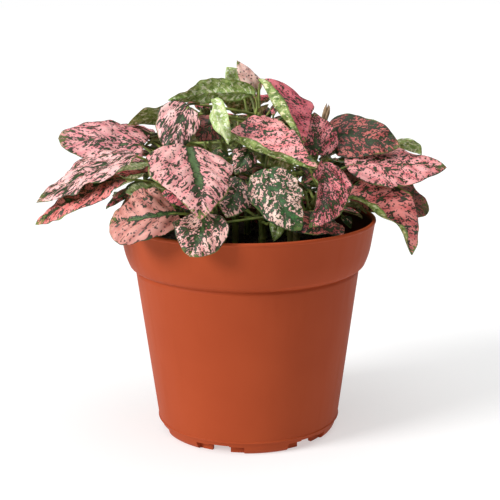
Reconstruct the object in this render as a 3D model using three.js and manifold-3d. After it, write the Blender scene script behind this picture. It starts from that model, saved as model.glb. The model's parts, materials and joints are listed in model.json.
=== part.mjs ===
// A potted polka dot plant: a moulded plastic nursery pot, its soil, ten soft stems and their leaves.
// Millimetres, +Z up, origin at the centre of the pot's base, +X to the right, -Y towards the front.
import * as THREE from "three";
import { mergeVertices } from "three/addons/utils/BufferGeometryUtils.js";
import Module from "manifold-3d";

const wasm = await Module();
wasm.setup();

// ---- Driving dimensions --------------------------------------------------------------------------
const RIM_RADIUS = 52.5;
const POT_HEIGHT = 88.7;
const COLLAR_FOOT_RADIUS = 50.1;
const COLLAR_FOOT_Z = 75.2;
const NECK_RADIUS = 45.8;
const NECK_Z = 68.6;
const BODY_FOOT_RADIUS = 37.9;
const BODY_FOOT_Z = 5.6;
const BASE_RADIUS = 35.5;
const FOOT_DEPTH = 3;
const FOOT_HEIGHT = 3.6;
const WALL = 1.5;
const NOTCHES = 6;
const FIRST_NOTCH = -108.5;
const GAP_HALF_ANGLE = 6.5;
const RECESS_HALF_ANGLE = 15.8;
const RECESS_DEPTH = 1.5;
const DRAIN_RADIUS = 3.5;
const DRAIN_DISTANCE = 25;
const POT_SEGMENTS = 72;

const CLEARANCE = 0.3;
const SOIL_TOP = 78;
const SOIL_DISH = 1.2;

const STEM_RADIUS = 1.3;
const STEM_SIDES = 8;
const STEM_STEPS = 10;

const STALK_RADIUS = 0.65;
const STALK_LEAD = 2.5;
const RIB_THICKNESS = 0.9;
const BLADE_THICKNESS = 0.6;
// Where the blade's cross sections lie, as parts of its length.
const BLADE_STATIONS = [0.05, 0.14, 0.28, 0.43, 0.58, 0.73, 0.86, 0.95];
const STALK_STATIONS = [0, 0.3, 0.65, 1];
const RING = 8;
const TAPER_FROM = 0.9;
const TIP_TAPER = 0.6;
const CURVE_SAMPLES = 60;
// How far a leaf may turn or tilt at its joint to clear its neighbours, and in what steps, in degrees.
const MOST_TURN = 27.5;
const TURN_STEP = 2.5;

const BUD_AT = [32.2, 4, 130.6];
const BUD_LENGTH = 5;
const BUD_RADIUS = 1.9;

// ---- Small helpers --------------------------------------------------------------------------------
const radians = THREE.MathUtils.degToRad;
const vector = (p) => new THREE.Vector3(...p);

function finish(color, roughness) {
  return new THREE.MeshStandardMaterial({ color, roughness, metalness: 0, side: THREE.DoubleSide });
}

const FINISH = {
  pot: finish(0xb5573a, 0.55),
  soil: finish(0x1d1713, 0.95),
  stem: finish(0x6f7d3a, 0.6),
  pale: finish(0xf0b3b4, 0.55),
  coral: finish(0xe0848a, 0.55),
  deep: finish(0xc9506b, 0.55),
  green: finish(0x5c7a45, 0.55),
  shade: finish(0x8a5a50, 0.6),
  young: finish(0xa9c480, 0.55),
  bud: finish(0x8b6a4c, 0.8),
};

// A closed geometry as a solid that can be cut, joined and measured.
function toSolid(geometry) {
  const bare = geometry.clone();
  bare.deleteAttribute("normal");
  bare.deleteAttribute("uv");
  const merged = mergeVertices(bare, 1e-4);
  return new wasm.Manifold(
    new wasm.Mesh({
      numProp: 3,
      vertProperties: merged.attributes.position.array,
      triVerts: new Uint32Array(merged.index.array),
    }),
  );
}

function toGeometry(solid) {
  const cut = solid.getMesh();
  const geometry = new THREE.BufferGeometry();
  geometry.setAttribute("position", new THREE.BufferAttribute(cut.vertProperties, 3));
  geometry.setIndex(new THREE.BufferAttribute(cut.triVerts, 1));
  geometry.computeVertexNormals();
  return geometry;
}

function turned(outline, segments) {
  const profile = outline.map(([r, z]) => new THREE.Vector2(r, z));
  return new THREE.LatheGeometry(profile, segments).rotateX(Math.PI / 2);
}

// A block between two radii and two angles (degrees, from +X towards +Y), from z0 up to z1.
function sector(inner, outer, from, to, z0, z1) {
  const shape = new THREE.Shape();
  shape.absarc(0, 0, outer, radians(from), radians(to), false);
  shape.absarc(0, 0, inner, radians(to), radians(from), true);
  shape.closePath();
  const block = new THREE.ExtrudeGeometry(shape, {
    depth: z1 - z0,
    bevelEnabled: false,
    curveSegments: 4,
  });
  return block.translate(0, 0, z0);
}

// ---- Pot --------------------------------------------------------------------------------------------
// Closed wall section, from the middle of the raised bottom out, up the outside and down the inside.
function potOutline() {
  const innerFoot = BASE_RADIUS - FOOT_DEPTH;
  const floorTop = FOOT_HEIGHT + WALL;
  return [
    [0, FOOT_HEIGHT],
    [innerFoot, FOOT_HEIGHT],
    [innerFoot, 0],
    [BASE_RADIUS, 0],
    [BODY_FOOT_RADIUS - 0.5, BODY_FOOT_Z - 0.5],
    [BODY_FOOT_RADIUS, BODY_FOOT_Z],
    [NECK_RADIUS, NECK_Z],
    [NECK_RADIUS + 2, NECK_Z + 1.7],
    [COLLAR_FOOT_RADIUS - 0.8, COLLAR_FOOT_Z - 2.6],
    [COLLAR_FOOT_RADIUS, COLLAR_FOOT_Z],
    [RIM_RADIUS - 0.5, POT_HEIGHT - 1.4],
    [RIM_RADIUS, POT_HEIGHT - 0.9],
    [RIM_RADIUS - 0.2, POT_HEIGHT - 0.2],
    [RIM_RADIUS - 0.7, POT_HEIGHT],
    [RIM_RADIUS - 1.6, POT_HEIGHT - 0.5],
    [COLLAR_FOOT_RADIUS - WALL, COLLAR_FOOT_Z],
    [COLLAR_FOOT_RADIUS - WALL - 1, COLLAR_FOOT_Z - 2.4],
    [NECK_RADIUS - WALL, NECK_Z + 1.6],
    [BODY_FOOT_RADIUS - WALL, floorTop + 1],
    [BODY_FOOT_RADIUS - WALL - 1, floorTop],
    [0, floorTop],
  ];
}

function pot() {
  let body = toSolid(turned(potOutline(), POT_SEGMENTS));
  const reach = BODY_FOOT_RADIUS + 4;
  for (let i = 0; i < NOTCHES; i += 1) {
    const middle = FIRST_NOTCH + (360 / NOTCHES) * i;
    const gap = sector(
      BASE_RADIUS - FOOT_DEPTH - 1,
      reach,
      middle - GAP_HALF_ANGLE,
      middle + GAP_HALF_ANGLE,
      -1,
      FOOT_HEIGHT,
    );
    const recess = sector(
      BASE_RADIUS - RECESS_DEPTH,
      reach,
      middle - RECESS_HALF_ANGLE,
      middle + RECESS_HALF_ANGLE,
      -1,
      FOOT_HEIGHT - 0.4,
    );
    const drain = new THREE.CylinderGeometry(DRAIN_RADIUS, DRAIN_RADIUS, 4 * WALL, 16)
      .rotateX(Math.PI / 2)
      .translate(DRAIN_DISTANCE, 0, FOOT_HEIGHT)
      .rotateZ(radians(middle));
    body = body.subtract(toSolid(gap)).subtract(toSolid(recess)).subtract(toSolid(drain));
  }
  return toGeometry(body);
}

// ---- Soil -------------------------------------------------------------------------------------------
// Fills the pot a clearance inside its wall, with a shallow dish next to the wall.
function soil() {
  const bottom = FOOT_HEIGHT + WALL + CLEARANCE;
  const side = WALL + 2 * CLEARANCE;
  return turned(
    [
      [0, bottom],
      [BODY_FOOT_RADIUS - side - 1.4, bottom],
      [BODY_FOOT_RADIUS - side, bottom + 1.4],
      [NECK_RADIUS - side, NECK_Z + 1.6],
      [COLLAR_FOOT_RADIUS - side - 1, COLLAR_FOOT_Z - 2.4],
      [COLLAR_FOOT_RADIUS - side, SOIL_TOP - SOIL_DISH],
      [NECK_RADIUS - side, SOIL_TOP],
      [0, SOIL_TOP],
    ],
    48,
  );
}

// ---- Stems --------------------------------------------------------------------------------------------
const STEM_FOOT = SOIL_TOP + CLEARANCE;
// Each stem's points, from the soil up.
const STEMS = {
  left: [[-14, -4, STEM_FOOT], [-14, -4, 86], [-24, -6, 101], [-34, -7, 112]],
  front_left: [[-10, -18, STEM_FOOT], [-10, -18, 86], [-14, -22, 98], [-18, -22, 112]],
  upper_left: [[-5, 2, STEM_FOOT], [-5, 2, 92], [-8, 3, 112], [-12, 2, 128]],
  centre: [[7, 9, STEM_FOOT], [7, 9, 92], [7, 10, 113], [6, 9, 131]],
  front: [[6, -12, STEM_FOOT], [6, -12, 86], [5, -17, 97], [5, -22, 106]],
  right: [[18, 4, STEM_FOOT], [18, 4, 88], [25, 5, 104], [29, 6, 118]],
  front_right: [[20, -10, STEM_FOOT], [20, -10, 86], [26, -14, 96], [30, -18, 106]],
  back_right: [[17, 18, STEM_FOOT], [17, 18, 87], [31, 23, 102], [44, 24, 110]],
  back: [[0, 21, STEM_FOOT], [0, 21, 88], [-2, 30, 105], [-3, 36, 119]],
  back_left: [[-16, 15, STEM_FOOT], [-16, 15, 87], [-28, 22, 101], [-37, 25, 112]],
};

function stemCurve(name) {
  return new THREE.CatmullRomCurve3(STEMS[name].map(vector));
}

function stem(name) {
  const section = new THREE.Shape();
  for (let i = 0; i < STEM_SIDES; i += 1) {
    const angle = (2 * Math.PI * i) / STEM_SIDES;
    const x = STEM_RADIUS * Math.cos(angle);
    const y = STEM_RADIUS * Math.sin(angle);
    if (i === 0) section.moveTo(x, y);
    else section.lineTo(x, y);
  }
  section.closePath();
  return new THREE.ExtrudeGeometry(section, {
    steps: STEM_STEPS,
    extrudePath: stemCurve(name),
    bevelEnabled: false,
  });
}

// ---- Leaves -------------------------------------------------------------------------------------------
// Half the blade's width at u, from 0 at its base to 1 at its tip, as a part of the widest half.
function outlineAt(u, widest, blunt) {
  const power = Math.log(0.5) / Math.log(widest);
  return Math.sin(Math.PI * u ** power) ** blunt;
}

// A point at v (0 rib, 1 margin) of a half blade whose slope goes from slopes[0] to slopes[1] degrees.
function arcAt(v, slopes) {
  const start = radians(slopes[0]);
  const bend = radians(slopes[1] - slopes[0]);
  const slope = start + bend * v;
  if (Math.abs(bend) < 1e-3) return { out: v * Math.cos(start), up: v * Math.sin(start), slope };
  return {
    out: (Math.sin(slope) - Math.sin(start)) / bend,
    up: (Math.cos(start) - Math.cos(slope)) / bend,
    slope,
  };
}

// The line that a leaf follows, from its stem through its stalk and along its rib to its tip.
function leafLine(row) {
  const curve = stemCurve(row.stem);
  const joint = curve.getPoint(row.at);
  const along = curve.getTangent(row.at);
  const outward = vector(row.rib[0]).sub(joint);
  outward.addScaledVector(along, -outward.dot(along)).normalize();
  const start = joint.clone().addScaledVector(outward, STEM_RADIUS + CLEARANCE + 0.1);
  const lead = start.clone().addScaledVector(outward, STALK_LEAD);
  return [start, lead, ...row.rib.map(vector)];
}

// A smooth curve through the points, read by the distance from its start.
function measured(points) {
  const curve = new THREE.CatmullRomCurve3(points, false, "centripetal");
  const samples = [{ t: 0, point: points[0], length: 0 }];
  for (let i = 1; i <= CURVE_SAMPLES; i += 1) {
    const before = samples[i - 1];
    const t = i / CURVE_SAMPLES;
    const point = curve.getPoint(t);
    samples.push({ t, point, length: before.length + point.distanceTo(before.point) });
  }
  const bladeT = 2 / (points.length - 1);
  const at = (distance) => {
    const next = Math.max(1, samples.findIndex((s) => s.length >= distance - 1e-6));
    const a = samples[next - 1];
    const b = samples[next];
    const t = THREE.MathUtils.mapLinear(distance, a.length, b.length, a.t, b.t);
    return { point: curve.getPoint(t), tangent: curve.getTangent(t) };
  };
  return {
    length: samples[CURVE_SAMPLES].length,
    bladeStart: samples.find((s) => s.t >= bladeT - 1e-9).length,
    at,
  };
}

// The corners of a leaf: rings of eight round a lens-shaped section, from the stalk's cut end to the tip.
// A ring runs left margin, left top, rib top, right top, right margin, right under, rib under, left under.
function leafCorners(row, line, faceBase, faceTip) {
  const run = measured(line);
  const bladeLength = run.length - run.bladeStart;
  const positions = [];
  const frameAt = (distance, u) => {
    const { point, tangent } = run.at(distance);
    const up = faceBase.clone().lerp(faceTip, u);
    up.addScaledVector(tangent, -up.dot(tangent)).normalize();
    return { point, tangent, up, right: tangent.clone().cross(up) };
  };
  // The stalk's sections turn with its line and never twist about it.
  const stalkFrames = [frameAt(run.bladeStart, 0)];
  STALK_STATIONS.slice(0, -1).reverse().forEach((part) => {
    const after = stalkFrames[0];
    const { point, tangent } = run.at(run.bladeStart * part);
    const bend = new THREE.Quaternion().setFromUnitVectors(after.tangent, tangent);
    const up = after.up.clone().applyQuaternion(bend);
    stalkFrames.unshift({ point, tangent, up, right: tangent.clone().cross(up) });
  });
  const put = (frame, out, rise, back = 0) => {
    const p = frame.point.clone().addScaledVector(frame.right, out).addScaledVector(frame.up, rise);
    p.addScaledVector(frame.tangent, -back);
    positions.push(p.x, p.y, p.z);
  };
  stalkFrames.forEach((frame) => {
    for (let i = 0; i < RING; i += 1) {
      const angle = Math.PI - ((2 * Math.PI) / RING) * i;
      put(frame, STALK_RADIUS * Math.cos(angle), STALK_RADIUS * Math.sin(angle));
    }
  });
  BLADE_STATIONS.forEach((u) => {
    const frame = frameAt(run.bladeStart + bladeLength * u, u);
    const taper = u > TAPER_FROM ? TIP_TAPER : 1;
    const rib = (RIB_THICKNESS / 2) * taper;
    const thin = (BLADE_THICKNESS / 2) * taper;
    const reach = outlineAt(u, row.widest, row.blunt);
    const side = (v, sign, offset) => {
      const a = arcAt(v, sign < 0 ? row.left : row.right);
      const half = reach * row.width[sign < 0 ? 0 : 1];
      const out = sign * (half * a.out - offset * Math.sin(a.slope));
      put(frame, out, half * a.up + offset * Math.cos(a.slope), row.lobe * half * v * (1 - u));
    };
    side(1, -1, 0);
    side(0.5, -1, thin);
    put(frame, 0, rib);
    side(0.5, 1, thin);
    side(1, 1, 0);
    side(0.5, 1, -thin);
    put(frame, 0, -rib);
    side(0.5, -1, -thin);
  });
  const tip = run.at(run.length).point;
  positions.push(tip.x, tip.y, tip.z);
  return positions;
}

// The faces between the rings, the point at the tip, and a fan about the rib's top point at the cut end.
function leafFaces() {
  const rings = STALK_STATIONS.length + BLADE_STATIONS.length;
  const faces = [];
  for (let ring = 0; ring < rings - 1; ring += 1) {
    for (let i = 0; i < RING; i += 1) {
      const a = ring * RING + i;
      const b = ring * RING + ((i + 1) % RING);
      faces.push(a, b, b + RING, a, b + RING, a + RING);
    }
  }
  const last = (rings - 1) * RING;
  for (let i = 0; i < RING; i += 1) faces.push(last + i, last + ((i + 1) % RING), rings * RING);
  for (let i = 3; i < RING + 1; i += 1) faces.push(2, (i + 1) % RING, i % RING);
  return faces;
}

const LEAF_FACES = leafFaces();

// A leaf's geometry, with everything past its joint turned about Z and tilted up by a few degrees.
function leafGeometry(row, turn, tilt) {
  const line = leafLine(row);
  const joint = line[0].clone();
  const flat = line[line.length - 1].clone().sub(joint).setZ(0).normalize();
  const level = new THREE.Vector3(flat.y, -flat.x, 0);
  const turning = new THREE.Quaternion().setFromAxisAngle(new THREE.Vector3(0, 0, 1), radians(turn));
  turning.multiply(new THREE.Quaternion().setFromAxisAngle(level, radians(tilt)));
  const moved = line.map((p, i) => (i < 2 ? p : p.sub(joint).applyQuaternion(turning).add(joint)));
  const faceBase = vector(row.face).normalize().applyQuaternion(turning);
  const faceTip = vector(row.faceTip ?? row.face).normalize().applyQuaternion(turning);
  const geometry = new THREE.BufferGeometry();
  const corners = leafCorners(row, moved, faceBase, faceTip);
  geometry.setAttribute("position", new THREE.Float32BufferAttribute(corners, 3));
  geometry.setIndex(LEAF_FACES);
  return geometry;
}

// The turns and tilts that a leaf tries, the smallest first.
const TRIALS = [];
for (let turn = -MOST_TURN; turn <= MOST_TURN; turn += TURN_STEP) {
  for (let tilt = -MOST_TURN; tilt <= MOST_TURN; tilt += TURN_STEP) TRIALS.push([turn, tilt]);
}
TRIALS.sort((a, b) => Math.hypot(...a) - Math.hypot(...b));

function isClear(solid, other) {
  const a = solid.boundingBox();
  const b = other.boundingBox();
  const apart = [0, 1, 2].some((k) => a.min[k] > b.max[k] + CLEARANCE || b.min[k] > a.max[k] + CLEARANCE);
  return apart || solid.minGap(other, CLEARANCE) > 0.8 * CLEARANCE;
}

// The leaf in the nearest place where it keeps clear of everything that is there before it.
function settledLeaf(row, there) {
  const blockers = new Set();
  for (const trial of TRIALS) {
    const geometry = leafGeometry(row, ...trial);
    const solid = toSolid(geometry);
    const blocker = there.find((other) => !isClear(solid, other.solid));
    if (!blocker) {
      there.push({ name: row.name, solid });
      return geometry;
    }
    blockers.add(blocker.name);
  }
  throw new Error(`${row.name} finds no clear place beside ${[...blockers].join(", ")}`);
}

// A leaf as a row of the list below. at: how far up its stem it sits; rib: points from the blade's base
// to its tip; width: its left and its right half, seen from above with the tip ahead; face: which way its
// upper side looks; left and right: how steeply each half rises at the rib and at the margin, in degrees;
// lobe: how far the margin is swept back at the base, as a part of the half's width.
function leaf(name, look, stemName, at, rib, width, face, more = {}) {
  const usual = { left: [10, -16], right: [10, -16], widest: 0.4, blunt: 0.85, lobe: 0.2 };
  return { name: `leaf_${name}`, look, stem: stemName, at, rib, width, face, ...usual, ...more };
}

// The first leaves are the ones at the front, and later ones give way to them.
const LEAVES = [
  leaf("left_upper", "pale", "left", 0.97, [[-41.8, 0, 118], [-56.7, -2, 120.6], [-75.2, -4, 121.8]],
    [11.5, 12.8], [0, -0.62, 0.78], { right: [4, -16], widest: 0.42, blunt: 0.45, lobe: 0.45 }),
  leaf("left_middle", "pale", "left", 0.88, [[-43.8, -19, 117.3], [-60.4, -27, 111.4], [-80.4, -29, 100.4]],
    [12, 16.5], [-0.42, -0.32, 0.85], { blunt: 0.75 }),
  leaf("left_lower", "coral", "left", 0.75, [[-47.1, -24, 108.8], [-60, -32, 105], [-81, -30, 92]],
    [9, 12], [-0.35, -0.4, 0.85], { widest: 0.38, blunt: 0.62 }),
  leaf("centre_large", "pale", "front_left", 0.97,
    [[-21.8, -29, 121.3], [-18.8, -40, 115], [-16.6, -50, 107.3], [-16.4, -57, 98.5]],
    [14.5, 19], [0.3, -0.66, 0.68], { widest: 0.33, lobe: 0 }),
  leaf("front_left", "coral", "front_left", 0.6, [[-25.5, -42, 98.4], [-37.9, -46, 97.6], [-51.5, -38, 94]],
    [10.5, 13.5], [-0.25, -0.7, 0.66], { widest: 0.52, blunt: 0.42 }),
  leaf("front_low", "pale", "front_left", 0.42, [[-15.4, -44, 98.3], [-16.9, -54, 93.6], [-20.5, -58, 85.3]],
    [10.5, 10.5], [-0.1, -0.9, 0.4], { widest: 0.48, blunt: 0.62 }),
  leaf("right_large", "coral", "right", 0.62, [[39.4, -4, 109.9], [58.1, 1, 110], [82, 5, 107.8]],
    [13.5, 13.5], [0.1, -0.5, 0.86]),
  leaf("right_drooping", "coral", "front_right", 0.7,
    [[40, -12, 99], [51, -12, 93.8], [60.6, -11, 86.5], [66.8, -9, 74.2]],
    [14, 3.6], [0.1, -0.75, 0.65], { faceTip: [0.3, -0.95, 0.1], right: [60, 105] }),
  leaf("front_right", "deep", "front_right", 0.95,
    [[29.1, -28, 115.1], [29.1, -35, 107.2], [27.2, -41, 99.9], [23, -45, 93.1]],
    [11, 6], [0.25, -0.85, 0.45], { right: [20, 60] }),
  leaf("front_centre", "green", "front", 0.95,
    [[8.1, -29, 112.9], [9.9, -36, 105.6], [13.9, -41, 98.8], [20.1, -44, 91.8]],
    [11, 9.5], [0.05, -0.85, 0.5], { blunt: 0.75 }),
  leaf("upper_left", "pale", "upper_left", 0.93, [[-22, -8, 134.7], [-26.7, -14, 126.6], [-29.7, -19, 115.6]],
    [7.5, 10], [-0.05, -0.85, 0.5]),
  leaf("middle_long", "coral", "upper_left", 0.82,
    [[-7.3, -11, 123.8], [3.7, -18, 118.9], [15.2, -23, 114.9], [28.8, -26, 112.4]],
    [18, 4.2], [0.2, -0.72, 0.66], { left: [12, -6], right: [80, 120] }),
  leaf("top_long", "deep", "centre", 0.86,
    [[5.2, 3, 144], [10.6, -3, 137], [16.2, -10, 128.4], [22.5, -14, 119.4]],
    [18, 4], [0.45, -0.6, 0.66], { left: [5, -12], right: [80, 130], lobe: 0 }),
  leaf("top_arched", "young", "centre", 0.97, [[4, 6, 137.4], [-12.5, 4, 139], [-31.5, -1, 136.4]],
    [6, 4.5], [0.25, 0.93, 0.28], { lobe: 0 }),
  leaf("young_hanging", "young", "upper_left", 0.98,
    [[-12.8, -12, 137.2], [-11.3, -18, 131.7], [-6.7, -21, 121]],
    [4.5, 4.5], [0.3, 0.9, 0.2], { left: [30, 10], right: [30, 10] }),
  leaf("top_small", "coral", "centre", 0.93, [[4.6, 12, 138.5], [1.2, 10, 144.6], [-3.7, 10, 151.5]],
    [4.8, 3.5], [0.1, -0.9, 0.3]),
  leaf("top_small_pale", "young", "centre", 0.78, [[-1.5, 15, 138], [-4.5, 14, 144], [-8, 13, 148.6]],
    [5.2, 5.2], [-0.3, -0.8, 0.3]),
  leaf("right_upper", "deep", "right", 0.93, [[35, 7, 119], [47.1, 5, 119.8], [62.5, 4, 115.6]],
    [11.5, 11], [0.1, -0.72, 0.68], { widest: 0.33, blunt: 0.7 }),
  leaf("right_inner", "deep", "right", 0.85, [[28.3, -3, 114], [28.4, -1, 121.5], [27.4, 3, 131]],
    [9, 9], [0.1, -0.9, 0.4]),
  leaf("right_shaded", "shade", "right", 0.5, [[40.5, 3, 101.2], [59.2, 7, 96.5], [76, 9, 89.5]],
    [15, 13], [0.1, -0.58, 0.81], { blunt: 0.45 }),
  leaf("left_edge_on", "young", "upper_left", 0.96, [[-24, 6, 129.5], [-34.5, 8, 126.8], [-48, 7, 121.5]],
    [9, 9], [0.1, 0.5, 0.85]),
  leaf("inner_dark", "shade", "upper_left", 0.9, [[-11, -6.5, 128.8], [-14.8, -9, 127], [-19.3, -11, 121.8]],
    [7, 7], [0, -0.9, 0.4], { lobe: 0 }),
  leaf("inner_small", "pale", "centre", 0.68, [[1.4, -12.5, 117.5], [-1.4, -17, 114], [-4.5, -20, 109]],
    [5, 5], [0, -0.9, 0.4], { lobe: 0 }),
  leaf("inner_lower", "coral", "front", 0.75, [[-1.8, -24, 108], [-4.5, -30, 102.4], [-7.9, -34, 94.8]],
    [8, 7], [0.1, -0.85, 0.5]),
  leaf("under_left", "shade", "front_left", 0.85, [[-29.1, -21, 102], [-38, -15, 106.5], [-46.4, -10, 110]],
    [9, 9], [0.2, 0.7, 0.6]),
  leaf("low_left", "shade", "front_left", 0.72, [[-30.2, -27, 101.2], [-40.7, -29, 103.2], [-51.8, -27, 99.4]],
    [9, 9], [-0.1, -0.6, 0.78]),
  leaf("low_left_inner", "deep", "front_left", 0.8, [[-19.1, -35, 102], [-25.6, -38, 103.5], [-32.3, -38, 103]],
    [6, 6], [0, -0.8, 0.6]),
  leaf("right_rounded", "young", "back_right", 0.97, [[55.5, 21, 111.5], [67.5, 26, 115.4], [75.2, 28, 110]],
    [8, 8], [-0.1, 0.4, 0.9]),
  leaf("front_bud_leaf", "young", "front", 0.45, [[11.7, -33, 95.1], [11.3, -36, 91], [10.1, -38, 86.5]],
    [3, 3], [0.2, -0.9, 0.3]),
  leaf("front_inside", "shade", "front_right", 0.35, [[36, -26, 90], [26, -36, 92.2], [14.1, -43, 91.3]],
    [8, 8], [0, -0.6, 0.8]),
  leaf("back_left_upper", "pale", "back_left", 0.97, [[-42, 33, 120], [-54, 40, 121], [-66, 44, 114]],
    [12, 12], [-0.3, 0.4, 0.87]),
  leaf("back_left_lower", "coral", "back_left", 0.8, [[-40, 34, 107], [-50, 44, 103], [-60, 50, 92]],
    [12, 12], [-0.35, 0.5, 0.8]),
  leaf("left_behind", "deep", "left", 0.65, [[-38, 8, 106], [-48, 16, 105], [-60, 22, 100]],
    [11, 11], [-0.3, 0.2, 0.9]),
  leaf("back_left_drooping", "deep", "back_left", 0.6, [[-28, 36, 100], [-34, 48, 96], [-38, 56, 86]],
    [11, 11], [-0.3, 0.65, 0.7]),
  leaf("back_drooping", "coral", "back", 0.5, [[-8, 42, 98], [-12, 53, 93], [-16, 59, 83]],
    [11, 11], [-0.1, 0.7, 0.7]),
  leaf("back_low", "pale", "back", 0.62, [[8, 42, 99], [14, 52, 95], [20, 57.5, 84]],
    [11, 11], [0.1, 0.7, 0.7]),
  leaf("back_middle_left", "pale", "back", 0.85, [[-12, 40, 117], [-20, 48, 113], [-28, 54, 101]],
    [12.5, 12.5], [-0.2, 0.75, 0.6]),
  leaf("back_middle_right", "coral", "back", 0.8, [[6, 42, 114], [13, 50, 109], [18, 55, 97]],
    [12, 12], [0.2, 0.75, 0.6]),
  leaf("back_top", "deep", "back", 0.97, [[-4, 43, 126], [-5, 51, 121], [-7, 57.5, 109]],
    [12, 12], [0, 0.8, 0.6]),
  leaf("back_upper_left", "coral", "upper_left", 0.75, [[-15, 12, 126], [-21, 22, 126], [-29, 31, 117]],
    [12, 12], [-0.3, 0.6, 0.75]),
  leaf("back_upper_right", "pale", "centre", 0.7, [[13, 17, 126], [20, 26, 126], [28, 34, 116]],
    [12, 12], [0.3, 0.65, 0.7], { lobe: 0 }),
  leaf("back_crown", "deep", "centre", 0.9, [[2, 18, 136], [-1, 27, 136.5], [-5, 36, 127]],
    [11.5, 11.5], [0, 0.7, 0.7]),
  leaf("back_right_upper", "coral", "right", 0.8, [[32, 14, 118], [41, 24, 119], [50, 33, 110]],
    [12, 12], [0.3, 0.5, 0.8]),
  leaf("back_right_drooping", "pale", "back_right", 0.6, [[34, 33, 99], [40, 43, 95], [45, 50, 85]],
    [11, 11], [0.3, 0.6, 0.7]),
  leaf("back_right_middle", "deep", "back_right", 0.85, [[46, 34, 108], [54, 42, 105], [62, 47, 96]],
    [11, 11], [0.35, 0.5, 0.8]),
  leaf("right_side", "coral", "back_right", 0.75, [[52, 17, 103], [64, 19, 102.2], [76, 18, 99.6]],
    [11, 11], [0.3, 0.05, 0.93]),
  leaf("left_back", "pale", "left", 0.9, [[-38, 4, 113], [-50, 13, 114], [-62, 18, 108]],
    [11, 11], [-0.2, 0.3, 0.9]),
];

// ---- Bud ------------------------------------------------------------------------------------------------
// A dried flower bud on a thin stalk that leaves the top of the right stem.
function bud() {
  const top = stemCurve("right").getPoint(1);
  const head = new THREE.Vector3(...BUD_AT);
  const foot = top.clone().add(new THREE.Vector3(0, 0, CLEARANCE + 0.1));
  const length = head.distanceTo(foot);
  const geometry = turned(
    [
      [0, 0],
      [STALK_RADIUS, 0],
      [STALK_RADIUS, length - BUD_LENGTH / 2],
      [BUD_RADIUS, length - BUD_LENGTH / 6],
      [0.9 * BUD_RADIUS, length + BUD_LENGTH / 6],
      [0.4 * BUD_RADIUS, length + 0.42 * BUD_LENGTH],
      [0, length + BUD_LENGTH / 2],
    ],
    10,
  );
  const upright = new THREE.Vector3(0, 0, 1);
  const lean = new THREE.Quaternion().setFromUnitVectors(upright, head.clone().sub(foot).normalize());
  return geometry.applyQuaternion(lean).translate(foot.x, foot.y, foot.z);
}

// ---- Assembly -------------------------------------------------------------------------------------------
const plant = new THREE.Group();
const there = [];

function add(name, geometry, material) {
  const mesh = new THREE.Mesh(geometry, material);
  mesh.name = name;
  plant.add(mesh);
}

// Adds a piece that stays where it is, and that the leaves keep clear of.
function addFixed(name, geometry, material) {
  add(name, geometry, material);
  there.push({ name, solid: toSolid(geometry) });
}

addFixed("pot", pot(), FINISH.pot);
addFixed("soil", soil(), FINISH.soil);
Object.keys(STEMS).forEach((name) => addFixed(`stem_${name}`, stem(name), FINISH.stem));
addFixed("bud", bud(), FINISH.bud);
LEAVES.forEach((row) => add(row.name, settledLeaf(row, there), FINISH[row.look]));

export default plant;
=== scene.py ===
"""The looks of a potted polka dot plant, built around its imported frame. Shapes are worked out in
millimetres in the frame's own axes, +Z up and -Y towards the viewer, and written in metres."""
import json
import math
import random

import bpy
import numpy as np
from mathutils import Matrix, Vector
from mathutils.bvhtree import BVHTree


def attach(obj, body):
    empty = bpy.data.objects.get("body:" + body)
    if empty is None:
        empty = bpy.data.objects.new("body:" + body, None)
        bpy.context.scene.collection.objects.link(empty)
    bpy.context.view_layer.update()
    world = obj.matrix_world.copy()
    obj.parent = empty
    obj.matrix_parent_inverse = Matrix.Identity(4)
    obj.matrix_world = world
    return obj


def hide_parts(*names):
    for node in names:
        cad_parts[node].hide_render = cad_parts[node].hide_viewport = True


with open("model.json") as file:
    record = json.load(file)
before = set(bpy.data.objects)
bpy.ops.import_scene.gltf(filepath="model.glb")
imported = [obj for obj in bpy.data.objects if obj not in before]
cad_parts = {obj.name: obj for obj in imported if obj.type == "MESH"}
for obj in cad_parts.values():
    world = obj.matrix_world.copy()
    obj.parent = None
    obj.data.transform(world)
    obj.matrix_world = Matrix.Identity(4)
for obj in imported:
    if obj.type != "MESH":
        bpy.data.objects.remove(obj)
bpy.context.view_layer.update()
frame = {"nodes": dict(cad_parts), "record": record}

MM = 0.001
BODY = "root"

# ---- Camera and light ------------------------------------------------------------------------------
CAMERA_AT = (1.1, -450.0, 175.1)
CAMERA_PITCH = 12.57
CAMERA_ROLL = -0.38
CAMERA_LENS = 80.64
SENSOR = 36.0
FLOOR_SIZE = 60.0
SKY_LIGHT = 0.05
KEY_FROM = (-0.88, -0.48, 0.55)
KEY_LIGHT = 2.9
KEY_SOFTNESS = 24
TOP_FROM = (0.0, -0.1, 1.0)
TOP_LIGHT = 1.9
TOP_SOFTNESS = 70
FLOOR_GLOW = 0.5
FLOOR_PALENESS = 0.55

# ---- Pot -------------------------------------------------------------------------------------------
RIM_RADIUS = 52.5
POT_HEIGHT = 88.7
COLLAR_FOOT_RADIUS = 50.1
COLLAR_FOOT_Z = 75.2
NECK_RADIUS = 45.8
NECK_Z = 68.6
BODY_FOOT_RADIUS = 37.9
BODY_FOOT_Z = 5.6
BASE_RADIUS = 35.5
FOOT_DEPTH = 3.0
FOOT_HEIGHT = 3.6
WALL = 1.5
NOTCHES = 6
FIRST_NOTCH = -108.5
GAP_HALF_ANGLE = 6.5
RECESS_HALF_ANGLE = 15.8
RECESS_DEPTH = 1.5
DRAIN_RADIUS = 3.5
DRAIN_DISTANCE = 25.0
POT_SEGMENTS = 240
SOIL_TOP = 78.0
# Painted shade and soil stain on the wall inside: full below the one height and gone above the other.
SHADE_AND_STAIN_FROM = 87.0
SHADE_AND_STAIN_TO = 89.5
SHADE_AND_STAIN_UNEVEN = 1.6
SHADE_AND_STAIN_STRENGTH = 0.9

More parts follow.
